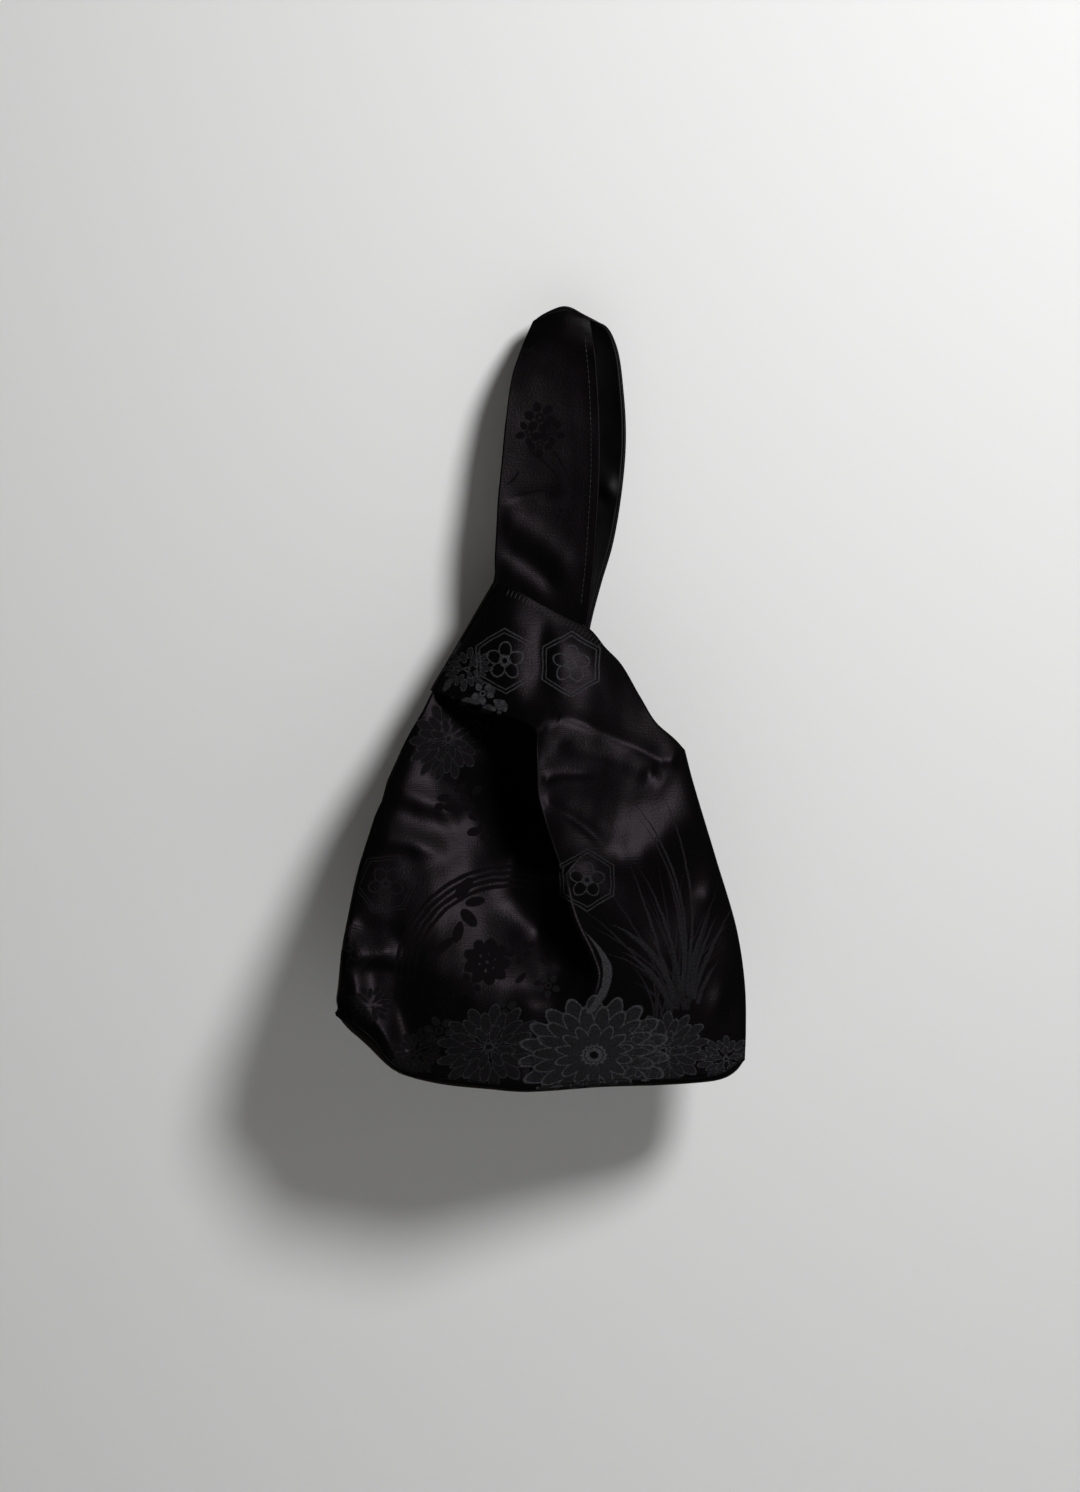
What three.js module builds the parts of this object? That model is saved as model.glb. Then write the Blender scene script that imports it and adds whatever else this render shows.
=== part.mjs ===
// A knot bag hanging by its long handle. Each outer panel is cut in one with half of the long handle
// and half of the short handle, and the short handle wraps round the foot of the long one.
// Millimetres, +Z up, the front faces -Y. The origin is under the top of the long handle, where a hook bears.
import * as THREE from "three";

// Cloth
const clothThickness = 1.2;
const liningThickness = 0.8;
const seamGap = 0.3;

// Long handle
const handleWidth = 53;
const handleDrop = 144.5; // hook to the upper edge of the short handle
const handleLean = 11.5; // the handle's middle line leans this far to the left on its way down
const handleOpening = 22; // depth between the outer faces of the two halves
const backHalfShift = 14; // the back half swings this far to the right of the front half
const crestDroop = 8; // the handle's edges hang this far below its middle at the hook

// Short handle, wrapped round the long one
const bandWidth = 66.5;
const bandSlant = THREE.MathUtils.degToRad(31); // slope of its folded end
const bandSlope = 24; // its upper edge falls this far across the long handle
const wrapFront = -18; // depth of its front half
const wrapBack = 13; // depth of its back half
const wrapMiddle = -3; // depth of its folded end
const wrapTurn = 4; // width of the bend at its folded end
const handleInside = 3; // depth of each long half from that middle, inside the fold

// Pouch
const bodyDrop = 267.5; // upper edge of the short handle to the foot
const leftArmholeDrop = 105.5; // upper edge of the short handle to the top of each side seam
const rightArmholeDrop = 89;
const mouthLength = 159.2; // side seam to side seam at the armholes
const mouthCentre = -15.8;
const mouthDepth = -4; // depth of the side seams at the armholes
const neckWidth = 8; // flat bottom of the neckline
const neckCentre = -9;
const neckDrop = 92; // lower end of the short handle's fold to the neckline
const mouthFront = -58; // depth of the front at the neckline
const mouthBack = 12; // depth of the back at the neckline
const mouthSwell = 7; // bulge of the cloth between the left side seam and the neckline
const neckSkew = 5; // the neckline's right end stands this far out, and its left end this far in

// Foot
const baseLength = 220.8;
const baseCentre = -13.6;
const seamDepth = -36; // depth of the side seams at the foot
const frontDepth = 50; // side seams to the front of the foot
const backDepth = 52; // side seams to the back of the foot
const baseRoundness = 2.7; // exponent of the foot's outline: 2 is an ellipse, more is squarer
const leftCurl = { length: 60, rise: 38 }; // the foot's ends curl up towards the side seams
const rightCurl = { length: 30, rise: 13 };
const panelBulge = { front: 12, back: 1 }; // how far the middle of each panel swells out
const seamBow = { left: 8, right: 7 }; // how far each side seam bows outwards

const armFade = 3; // how soon a half handle flattens out above the pouch

// Mesh steps
const steps = { left: 7, neck: 2, right: 8, body: 10, handle: 18, band: 12, base: 4 };
const columns = steps.left + steps.neck + steps.right;

const point = (x, y, z) => new THREE.Vector3(x, y, z);
const between = (a, b, share, depth) => {
  const p = a.clone().lerp(b, share);
  return depth === undefined ? p : p.setY(depth);
};
const curve = (points) => {
  const spline = new THREE.CatmullRomCurve3(points, false, "centripetal");
  return (share) => spline.getPoint(share);
};

// Heights and corner points that several pieces share
const liningFrom = clothThickness + seamGap; // the lining starts this far under the outer face
const stack = liningFrom + liningThickness; // outer cloth and lining
const footHeight = -(handleDrop + bodyDrop);
const leftArmhole = point(mouthCentre - mouthLength / 2, mouthDepth, -(handleDrop + leftArmholeDrop));
const rightArmhole = point(mouthCentre + mouthLength / 2, mouthDepth, -(handleDrop + rightArmholeDrop));
const handleLeft = -handleLean - handleWidth / 2;
const handleRight = -handleLean + handleWidth / 2;
const foldTop = point(handleLeft - seamGap, wrapMiddle, -handleDrop);
const foldBottom = point(
  foldTop.x - bandWidth * Math.sin(bandSlant),
  wrapMiddle,
  foldTop.z - bandWidth * Math.cos(bandSlant),
);
const neckHeight = foldBottom.z - neckDrop;

// Foot: height, upward normal and outline
const curls = [
  { end: baseCentre - baseLength / 2, direction: -1, ...leftCurl },
  { end: baseCentre + baseLength / 2, direction: 1, ...rightCurl },
];
const intoCurl = (curl, x) => Math.max(0, 1 - (curl.direction * (curl.end - x)) / curl.length);
const baseHeight = (x) =>
  curls.reduce((height, curl) => height + curl.rise * intoCurl(curl, x) ** 2, footHeight);
const baseSlope = (x) =>
  curls.reduce((sum, c) => sum + (2 * c.direction * c.rise * intoCurl(c, x)) / c.length, 0);
const baseUp = (x) => point(-baseSlope(x), 0, 1).normalize();

function baseOutline(share, side, inset = 0) {
  const half = baseLength / 2 - inset;
  const depth = (side < 0 ? frontDepth : backDepth) - inset;
  const ends = share === 0 || share === 1;
  const reach = -Math.cos(Math.PI * share) * (ends ? half : baseLength / 2);
  const fullness = Math.max(0, 1 - Math.abs(reach / half) ** baseRoundness) ** (1 / baseRoundness);
  const x = baseCentre + reach;
  return point(x, seamDepth + side * depth * fullness, baseHeight(x));
}

// A smooth patch between four edge curves that meet at their ends.
// A higher fade loses the low edge's shape sooner.
function patchPoint(low, high, left, right, s, t, fade) {
  const corners = [low(0), low(1), high(0), high(1)];
  const rest = (1 - t) ** fade;
  const shares = [(1 - s) * rest, s * rest, (1 - s) * (1 - rest), s * (1 - rest)];
  const sum = low(s).multiplyScalar(rest).addScaledVector(high(s), 1 - rest);
  sum.addScaledVector(left(t), 1 - s).addScaledVector(right(t), s);
  corners.forEach((corner, k) => sum.addScaledVector(corner, -shares[k]));
  return sum;
}

// How the long handle gathers in from the mouth of the pouch to the short handle: the share of the climb,
// how far its armhole edge flares and how much of the neckline's depth its other edge keeps
const gatherStations = [
  { climb: 0.12, flare: 3, depthLeft: 0.72 },
  { climb: 0.35, flare: 2, depthLeft: 0.38 },
  { climb: 0.67, flare: 0, depthLeft: 0.1 },
];

// How the short handle's neckline edge comes in to the wrap's depth on its way to the fold
const wrapStations = [
  { along: 0.22, depthLeft: 0.8 },
  { along: 0.45, depthLeft: 0.55 },
  { along: 0.7, depthLeft: 0.2 },
];

// The long handle's half on one side: stations from the short handle up to the hook
const handleStations = [
  { drop: 1, lean: 1, opening: 0.45, width: 0.8 },
  { drop: 0.72, lean: 0.78, opening: 0.9, width: 0.98 },
  { drop: 0.45, lean: 0.62, opening: 1, width: 0.97 },
  { drop: 0.22, lean: 0.44, opening: 0.95, width: 0.86 },
  { drop: 0.08, lean: 0.25, opening: 0.7, width: 0.7 },
  { drop: 0, lean: 0, opening: 0, width: 0.58 },
];

function handleEdge(side, edge) {
  return handleStations.map(({ drop, lean, opening, width }) => {
    const swing = side > 0 ? backHalfShift * Math.sin(Math.PI * drop) : 0;
    const x = -handleLean * lean + swing + (edge * width * handleWidth) / 2;
    const top = drop === 0 ? stack - crestDroop : 0;
    return point(x, (side * opening * handleOpening) / 2, top - drop * handleDrop);
  });
}

// Edge curves of one outer panel. Side -1 is the front and 1 is the back.
function panelEdges(side) {
  const mouth = side < 0 ? mouthFront : mouthBack;
  const wrap = side < 0 ? wrapFront : wrapBack;
  const neckLeft = point(neckCentre - neckWidth / 2, mouth - side * neckSkew, neckHeight);
  const neckRight = point(neckCentre + neckWidth / 2, mouth + side * neckSkew, neckHeight);
  const armholeEdge = handleEdge(side, -1);
  const neckEdge = handleEdge(side, 1);
  const inside = wrapMiddle + side * handleInside;
  armholeEdge[0].y = inside;
  const corner = point(handleRight, wrap, -handleDrop - bandSlope);
  const turn = (fold) => point(fold.x + wrapTurn, (wrap + wrapMiddle) / 2, fold.z);
  const top = point(0, 0, stack);
  return {
    leftMouth: curve([
      leftArmhole,
      between(leftArmhole, neckLeft, 0.5).add(point(0, side * mouthSwell, 0)),
      neckLeft,
    ]),
    neck: curve([neckLeft, neckRight]),
    rightMouth: curve([neckRight, between(neckRight, rightArmhole, 0.5, mouth), rightArmhole]),
    handleArmhole: curve([
      leftArmhole,
      ...gatherStations.map(({ climb, flare }) =>
        between(leftArmhole, armholeEdge[0], climb, inside + side * flare),
      ),
      ...armholeEdge,
    ]),
    handleNeck: curve([
      neckLeft,
      ...gatherStations.map(({ climb, depthLeft }) =>
        between(neckLeft, neckEdge[0], climb, inside + depthLeft * (neckLeft.y - inside)),
      ),
      ...neckEdge,
    ]),
    handleEnd: curve([armholeEdge.at(-1), top, neckEdge.at(-1)]),
    bandNeck: curve([
      neckRight,
      ...wrapStations.map(({ along, depthLeft }) =>
        between(neckRight, foldBottom, along, wrap + depthLeft * (neckRight.y - wrap)),
      ),
      turn(foldBottom),
      foldBottom,
    ]),
    bandArmhole: curve([
      rightArmhole,
      between(rightArmhole, corner, 0.5, wrap),
      corner,
      between(corner, foldTop, 0.5, wrap),
      turn(foldTop),
      foldTop,
    ]),
    bandEnd: curve([foldBottom, foldTop]),
  };
}

// A side seam from the foot to the armhole
function sideSeam(ear, armhole, bow) {
  const middle = between(ear, armhole, 0.5).add(point(bow, 0, 0));
  return curve([ear, middle, armhole]);
}

// One panel's outer face as a net of points, with the directions that its seam edges must lie across
function panelSheet(side) {
  const edges = panelEdges(side);
  const sheet = { points: [], quads: [], across: new Map(), bottom: [] };
  const foot = (s) => {
    const p = baseOutline(s, side);
    return p.addScaledVector(baseUp(p.x), clothThickness + seamGap);
  };
  const mouth = (s) => {
    const column = s * columns;
    if (column <= steps.left) return edges.leftMouth(column / steps.left);
    if (column <= steps.left + steps.neck) return edges.neck((column - steps.left) / steps.neck);
    return edges.rightMouth((column - steps.left - steps.neck) / steps.right);
  };
  const leftSeam = sideSeam(foot(0), leftArmhole, -seamBow.left);
  const rightSeam = sideSeam(foot(1), rightArmhole, seamBow.right);
  const bulge = side < 0 ? panelBulge.front : panelBulge.back;
  const seam = point(0, 1, 0);
  const halfGap = (side * seamGap) / 2;

  const add = (p, ...across) => {
    sheet.across.set(sheet.points.length, across);
    return sheet.points.push(p) - 1;
  };
  const weave = (rows) => {
    for (let i = 0; i + 1 < rows.length; i++)
      for (let j = 0; j + 1 < rows[i].length; j++) {
        const quad = [rows[i][j], rows[i][j + 1], rows[i + 1][j + 1], rows[i + 1][j]];
        sheet.quads.push(side < 0 ? quad : quad.reverse());
      }
  };

  const body = [];
  for (let i = 0; i <= steps.body; i++) {
    const t = i / steps.body;
    body.push([]);
    for (let j = 0; j <= columns; j++) {
      const s = j / columns;
      const p = patchPoint(foot, mouth, leftSeam, rightSeam, s, t, 1);
      p.y += side * bulge * Math.sin(Math.PI * s) * Math.sin(Math.PI * t);
      const across = i === 0 ? [baseUp(p.x)] : [];
      if (j === 0 || j === columns) {
        const line = j === 0 ? leftSeam : rightSeam;
        if (i > 0) across.push(line(t).sub(line(t - 1 / steps.body)).setY(0).normalize());
        across.push(seam);
        p.y += halfGap;
      }
      body[i].push(add(p, ...across));
    }
  }
  sheet.bottom = body[0];
  weave(body);

  // Each half handle grows from its stretch of the mouth row and ends at its own seam
  const arm = (start, rowCount, low, end, left, right) => {
    const width = start.length - 1;
    const rows = [start];
    for (let i = 1; i <= rowCount; i++) {
      const t = i / rowCount;
      rows.push([]);
      for (let j = 0; j <= width; j++) {
        const p = patchPoint(low, end, left, right, j / width, t, armFade);
        const atEnd = i === rowCount;
        if (atEnd) p.y += halfGap;
        rows[i].push(add(p, ...(atEnd ? [seam] : [])));
      }
    }
    weave(rows);
  };
  const topRow = body[steps.body];
  const leftStart = topRow.slice(0, steps.left + 1);
  const rightStart = topRow.slice(steps.left + steps.neck);
  arm(leftStart, steps.handle, edges.leftMouth, edges.handleEnd, edges.handleArmhole, edges.handleNeck);
  arm(rightStart, steps.band, edges.rightMouth, edges.bandEnd, edges.bandNeck, edges.bandArmhole);
  return sheet;
}

// The foot as a net of strips from front to back, closed by a point at each end
function baseSheet(inset) {
  const sheet = { points: [], quads: [], across: new Map(), bottom: [] };
  const rows = [];
  for (let j = 0; j <= columns; j++) {
    const front = baseOutline(j / columns, -1, inset);
    const back = baseOutline(j / columns, 1, inset);
    const count = j === 0 || j === columns ? 0 : steps.base;
    rows.push([]);
    for (let i = 0; i <= count; i++) {
      const p = between(front, back, i / Math.max(1, count));
      rows[j].push(sheet.points.push(p) - 1);
    }
  }
  const corner = (j, i) => rows[j][Math.min(i, rows[j].length - 1)];
  for (let j = 0; j < columns; j++)
    for (let i = 0; i < steps.base; i++) {
      const loop = [corner(j, i), corner(j, i + 1), corner(j + 1, i + 1), corner(j + 1, i)];
      sheet.quads.push([...new Set(loop)]);
    }
  sheet.normals = sheet.points.map((p) => baseUp(p.x).negate());
  return sheet;
}

// Outward unit normals of a sheet, held square to its seams
function sheetNormals({ points, quads, across, normals }) {
  if (normals) return normals;
  const sums = points.map(() => point(0, 0, 0));
  for (const quad of quads) {
    const [a, b, c, d] = quad.map((k) => points[k]);
    const face = c.clone().sub(a).cross(d.clone().sub(b));
    quad.forEach((k) => sums[k].add(face));
  }
  return sums.map((sum, k) => {
    sum.normalize();
    for (const direction of across.get(k) ?? []) sum.addScaledVector(direction, -sum.dot(direction));
    return sum.normalize();
  });
}

// A closed solid between two depths under a sheet's outer face
function clothSolid(sheet, from, to) {
  const normals = sheetNormals(sheet);
  const count = sheet.points.length;
  const position = [];
  for (const depth of [from, to])
    sheet.points.forEach((p, k) => position.push(...p.clone().addScaledVector(normals[k], -depth)));
  const index = [];
  const face = (loop) => {
    for (let k = 1; k + 1 < loop.length; k++) index.push(loop[0], loop[k], loop[k + 1]);
  };
  const rim = new Map();
  for (const quad of sheet.quads) {
    face(quad);
    face([quad[0], ...quad.slice(1).reverse()].map((k) => k + count));
    quad.forEach((a, k) => {
      const b = quad[(k + 1) % quad.length];
      if (!rim.delete(`${b},${a}`)) rim.set(`${a},${b}`, [a, b]);
    });
  }
  for (const [a, b] of rim.values()) face([b, a, a + count, b + count]);
  const geometry = new THREE.BufferGeometry();
  geometry.setAttribute("position", new THREE.Float32BufferAttribute(position, 3));
  geometry.setIndex(index);
  geometry.computeVertexNormals();
  return geometry;
}

// The lining panel stands on the base lining, so its lower edge is lifted clear of it
function liftedBottom(sheet) {
  const lift = liningThickness + seamGap;
  const points = sheet.points.map((p) => p.clone());
  for (const k of sheet.bottom) points[k].addScaledVector(baseUp(points[k].x), lift);
  return { ...sheet, points };
}

const satin = { color: 0x141015, roughness: 0.42, metalness: 0 };
const liningCloth = { color: 0x18151a, roughness: 0.6, metalness: 0 };

const bag = new THREE.Group();
function addPiece(name, geometry, finish) {
  const mesh = new THREE.Mesh(geometry, new THREE.MeshStandardMaterial(finish));
  mesh.name = name;
  bag.add(mesh);
}

for (const [place, side] of [["front", -1], ["back", 1]]) {
  const sheet = panelSheet(side);
  addPiece(`outer_${place}_panel`, clothSolid(sheet, 0, clothThickness), satin);
  addPiece(`lining_${place}_panel`, clothSolid(liftedBottom(sheet), liningFrom, stack), liningCloth);
}
addPiece("outer_base_panel", clothSolid(baseSheet(0), 0, clothThickness), satin);
addPiece("lining_base_panel", clothSolid(baseSheet(stack), liningFrom, stack), liningCloth);

export default bag;
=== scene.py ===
import math

import bmesh
import bpy
import numpy as np
from mathutils import Matrix, Vector
from mathutils.bvhtree import BVHTree


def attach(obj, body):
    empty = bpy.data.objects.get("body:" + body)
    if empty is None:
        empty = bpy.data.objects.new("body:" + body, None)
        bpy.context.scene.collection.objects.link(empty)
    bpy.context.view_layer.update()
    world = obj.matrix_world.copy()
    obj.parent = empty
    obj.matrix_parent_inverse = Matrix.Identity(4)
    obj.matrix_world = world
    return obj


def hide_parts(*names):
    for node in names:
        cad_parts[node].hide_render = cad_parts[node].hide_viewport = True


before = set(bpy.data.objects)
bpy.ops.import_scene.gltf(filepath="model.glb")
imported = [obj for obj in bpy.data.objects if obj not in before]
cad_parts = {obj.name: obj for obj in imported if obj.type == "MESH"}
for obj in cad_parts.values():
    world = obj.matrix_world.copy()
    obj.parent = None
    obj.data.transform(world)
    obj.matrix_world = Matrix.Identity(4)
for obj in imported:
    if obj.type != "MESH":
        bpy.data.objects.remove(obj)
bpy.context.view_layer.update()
print("frame loaded:", sorted(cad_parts))

# The photograph's view. Sketch points are (pixel right, pixel down, depth in millimetres),
# and a depth grows towards the back of the bag
view = {
    "picture": (1080, 1492),
    "pixel": 0.000532,            # metres a pixel covers on the reference plane
    "plane": -0.035,              # depth of the reference plane
    "distance": 2.0,              # camera to the reference plane
    "middle": (-0.0133, -0.2312), # x and z that the picture's middle shows on that plane
    "sensor": 36,
}


def fromSketch(spots):
    across, down, depth = np.moveaxis(np.asarray(spots, float), -1, 0)
    depth = depth / 1000
    scale = view["pixel"] * (1 + (depth - view["plane"]) / view["distance"])
    x = view["middle"][0] + (across - view["picture"][0] / 2) * scale
    z = view["middle"][1] - (down - view["picture"][1] / 2) * scale
    return np.stack([x, depth, z], -1)


def easeTo(value):
    value = np.clip(value, 0, 1)
    return value * value * (3 - 2 * value)


def flatGap(spots, others):
    return np.hypot(*(spots[:, :2] - others[:, :2]).T)


# A smooth line through points, read by its share of the length
def lineThrough(points, samples=400):
    points = np.asarray(points, float)
    gaps = np.linalg.norm(np.diff(points, axis=0), axis=1) ** 0.5
    knots = np.concatenate([[0], np.cumsum(gaps)])
    slopes = np.diff(points, axis=0) / gaps[:, None]
    tangents = np.concatenate([slopes[:1], slopes[:1], slopes[1:]])[: len(points)]
    if len(points) > 2:
        before, after = gaps[:-1, None], gaps[1:, None]
        tangents[1:-1] = (slopes[:-1] * after + slopes[1:] * before) / (before + after)
    tangents[-1] = slopes[-1]
    fine = np.linspace(0, knots[-1], samples)
    k = np.clip(np.searchsorted(knots, fine, side="right") - 1, 0, len(gaps) - 1)
    step = gaps[k][:, None]
    u = (fine - knots[k])[:, None] / step
    path = (2 * u**3 - 3 * u**2 + 1) * points[k] + (u**3 - 2 * u**2 + u) * step * tangents[k]
    path += (3 * u**2 - 2 * u**3) * points[k + 1] + (u**3 - u**2) * step * tangents[k + 1]
    run = np.concatenate([[0], np.cumsum(np.linalg.norm(np.diff(path, axis=0), axis=1))])
    run /= run[-1]
    return lambda share: np.stack([np.interp(share, run, path[:, i]) for i in range(path.shape[1])], -1)


# A thin-plate surface of depth through (right, down, depth) points. A little slack evens it out
def depthThrough(points, scale=100, slack=0.02):
    points = np.asarray(points, float)
    at = points[:, :2] / scale

    def kernel(a, b):
        square = ((a[:, None] - b[None]) ** 2).sum(-1)
        return 0.5 * square * np.log(square + 1e-12)

    count = len(points)
    flat = np.concatenate([np.ones((count, 1)), at], 1)
    matrix = np.zeros((count + 3, count + 3))
    matrix[:count, :count] = kernel(at, at) + slack * np.eye(count)
    matrix[:count, count:] = flat
    matrix[count:, :count] = flat.T
    weights = np.linalg.solve(matrix, np.concatenate([points[:, 2], np.zeros(3)]))

    def depth(right, down):
        where = np.stack([right, down], -1) / scale
        tail = weights[count] + where @ weights[count + 1:]
        return kernel(where, at) @ weights[:count] + tail

    return depth


# A fold laid along a line of (right, down): lift in millimetres towards the viewer, reach in pixels
# on either side of the line, the pixels over which its two ends fade, and how much of it is a sharp crease
creaseShape = {"steps": 26, "rounding": 0.02, "top": 0.14, "steep": 1.6}


def foldLift(right, down, path, lift, reach, ends=(25, 25), crease=0.0):
    line = lineThrough(path)(np.linspace(0, 1, creaseShape["steps"]))
    where = np.stack([right, down], -1)
    best = np.full(len(where), 1e9)
    side = np.zeros(len(where))
    along = np.zeros(len(where))
    run = 0.0
    for a, b in zip(line[:-1], line[1:]):
        step = b - a
        length = np.hypot(*step)
        share = np.clip((where - a) @ step / length**2, 0, 1)
        off = where - a - share[:, None] * step
        distance = np.hypot(off[:, 0], off[:, 1])
        nearer = distance < best
        best = np.where(nearer, distance, best)
        side = np.where(nearer, step[0] * off[:, 1] - step[1] * off[:, 0], side)
        along = np.where(nearer, run + share * length, along)
        run += length
    width = np.where(side < 0, reach[0], reach[1])
    ratio = best / width
    soft = np.exp(-(ratio**2))
    rounded = np.sqrt(ratio**2 + creaseShape["rounding"]) - creaseShape["top"]
    sharp = np.exp(-rounded * creaseShape["steep"])
    shape = (1 - crease) * soft + crease * sharp
    fade = easeTo(along / max(ends[0], 1)) * easeTo((run - along) / max(ends[1], 1))
    return lift * shape * fade


# Slight unevenness of cloth that has been handled: pitch in pixels, height in millimetres, direction.
# The rows of each wave are bent (height and length in pixels) and stronger in patches
ripples = [(61, 0.26, 0.4), (47, 0.18, 2.2), (33, 0.11, 1.1), (27, 0.08, 2.8), (21, 0.05, 0.1),
           (17, 0.04, 1.7)]
rippleBend = {"down": (9, 37), "right": (7, 29), "patch": (53, 71), "even": 0.6}


def rippleLift(right, down):
    total = np.zeros(len(right))
    (downHeight, downLength), (rightHeight, rightLength) = rippleBend["down"], rippleBend["right"]
    (patchRight, patchDown), even = rippleBend["patch"], rippleBend["even"]
    for number, (pitch, height, turn) in enumerate(ripples):
        bent = downHeight * np.sin(down / downLength + number)
        bent += rightHeight * np.sin(right / rightLength - 2 * number)
        along = right * math.cos(turn) + down * math.sin(turn) + bent
        patches = np.sin(right / (patchRight + 5 * number) + down / patchDown + 3 * number)
        patchy = even + (1 - even) * patches
        total += height * patchy * np.sin(2 * math.pi * along / pitch + 1.7 * number)
    return total


# A surface between four edge lines
def patchMix(low, high, left, right, s, t):
    s, t = s[:, None], t[:, None]
    lowAt, highAt = low(s[:, 0]), high(s[:, 0])
    leftAt, rightAt = left(t[:, 0]), right(t[:, 0])
    zero, one = np.zeros(1), np.ones(1)
    corners = [low(zero), low(one), high(zero), high(one)]
    mix = (1 - t) * lowAt + t * highAt + (1 - s) * leftAt + s * rightAt
    mix -= (1 - s) * (1 - t) * corners[0] + s * (1 - t) * corners[1]
    return mix - (1 - s) * t * corners[2] - s * t * corners[3]


# The lines that the cut panels share
seams = {
    "leftSide": [(336, 1014, -54), (341, 992, -57), (345, 950, -62), (351, 915, -53), (361, 868, -43),
                 (372, 832, -36), (382, 800, -30), (387, 781, -26)],
    "rightSide": [(745, 1058, -18), (746, 1030, -15), (745, 985, -14), (737, 930, -15), (716, 858, -21),
                  (697, 795, -29), (691, 774, -29), (685, 750, -26)],
    "frontFoot": [(336, 1014, -54), (354, 1023, -57), (374, 1040, -59), (386, 1057, -61), (398, 1067, -62),
                  (415, 1073, -63), (443, 1078, -65), (493, 1084, -67), (521, 1087, -69), (550, 1086, -70),
                  (604, 1081, -60), (657, 1079, -45), (700, 1077, -33), (722, 1073, -27), (735, 1065, -22),
                  (745, 1058, -18)],
    "backFoot": [(336, 1014, -54), (346, 1022, -30), (366, 1038, -8), (394, 1060, 5), (434, 1074, 11),
                 (490, 1078, 14), (550, 1078, 14), (620, 1077, 13), (680, 1074, 10), (718, 1069, 4),
                 (738, 1064, -6), (745, 1058, -18)],
    "handleTop": [(533, 321, 0), (545, 313, 0), (565, 306, 0), (580, 312, 0), (590, 320, 0)],
    "wrapEnd": [(430, 690, -3), (461, 637, -3), (493, 582, -3)],
}

frontCut = {
    "leftMouth": [(387, 781, -26), (430, 803, -24), (470, 822, -20), (505, 843, -27), (536, 863, -44),
                  (559, 874, -57)],
    "neck": [(559, 874, -57), (561, 875, -57.5), (563, 874, -58)],
    "rightMouth": [(563, 874, -58), (584, 852, -57), (612, 825, -56), (648, 795, -42), (672, 768, -30),
                   (685, 750, -26)],
    "longArmhole": [(387, 781, -26), (407, 738, -18), (423, 710, -13), (434, 688, -9), (470, 625, -8),
                    (493, 583, -9), (495, 555, -12), (498, 500, -15), (501, 470, -15), (506, 418, -15),
                    (512, 376, -12), (518, 357, -10), (524.5, 340, -7), (533, 321, 0)],
    "longNeck": [(559, 874, -57), (570, 830, -33), (576, 770, -17), (580, 710, -10), (583, 650, -8),
                 (589, 613, -9), (594, 567, -10.5), (598, 510, -12.5), (600, 464, -13), (599.5, 418, -13),
                 (597, 376, -13), (594, 345, -12), (590, 320, 0)],
    "shortNeck": [(563, 874, -58), (553, 845, -60), (545, 820, -62), (538, 797, -61), (537, 755, -61),
                  (536, 731, -54), (524, 722, -47), (509, 717, -40), (470, 704, -28), (440, 694, -16),
                  (430, 690, -3)],
    "shortArmhole": [(685, 750, -26), (675, 739, -28), (656, 722, -28), (640, 696, -23), (621, 664, -19.5),
                     (606, 648, -19), (590, 629, -18), (565, 616, -18), (540, 603, -18), (515, 590, -17),
                     (500, 585, -12), (493, 582, -3)],
}

backCut = {
    "leftMouth": [(387, 781, -26), (430, 815, 2), (480, 842, 8), (544, 862, 11)],
    "neck": [(544, 862, 11), (549, 864, 11), (554, 862, 12)],
    "rightMouth": [(554, 862, 12), (600, 835, 14), (650, 795, 8), (685, 750, -26)],
    "longArmhole": [(387, 781, -26), (407, 738, -11), (423, 710, -1), (434, 688, 3), (470, 625, 4),
                    (503, 585, 4), (514, 544, 7), (524, 491, 10), (528, 441, 11), (528, 395, 10),
                    (530, 345, 7), (533, 321, 0)],
    "longNeck": [(544, 862, 11), (566, 810, 8), (576, 760, 6), (582, 700, 5), (587, 650, 4),
                 (591, 624, 4), (601, 585, 4), (613, 544, 4), (622, 491, 4), (626, 441, 4),
                 (624, 395, 4), (617, 347, 4), (606, 326, 2.5), (590, 320, 0)],
    "shortNeck": [(554, 862, 12), (548, 820, 14), (542, 770, 15), (534, 738, 15), (509, 720, 15),
                  (470, 705, 14), (440, 694, 8), (430, 690, -3)],
    "shortArmhole": [(685, 750, -26), (675, 739, -10), (656, 722, 4), (640, 696, 11), (621, 664, 13),
                     (606, 648, 13), (590, 629, 13), (565, 616, 13), (540, 603, 13), (515, 590, 12),
                     (500, 585, 7), (493, 582, -3)],
}

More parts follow.
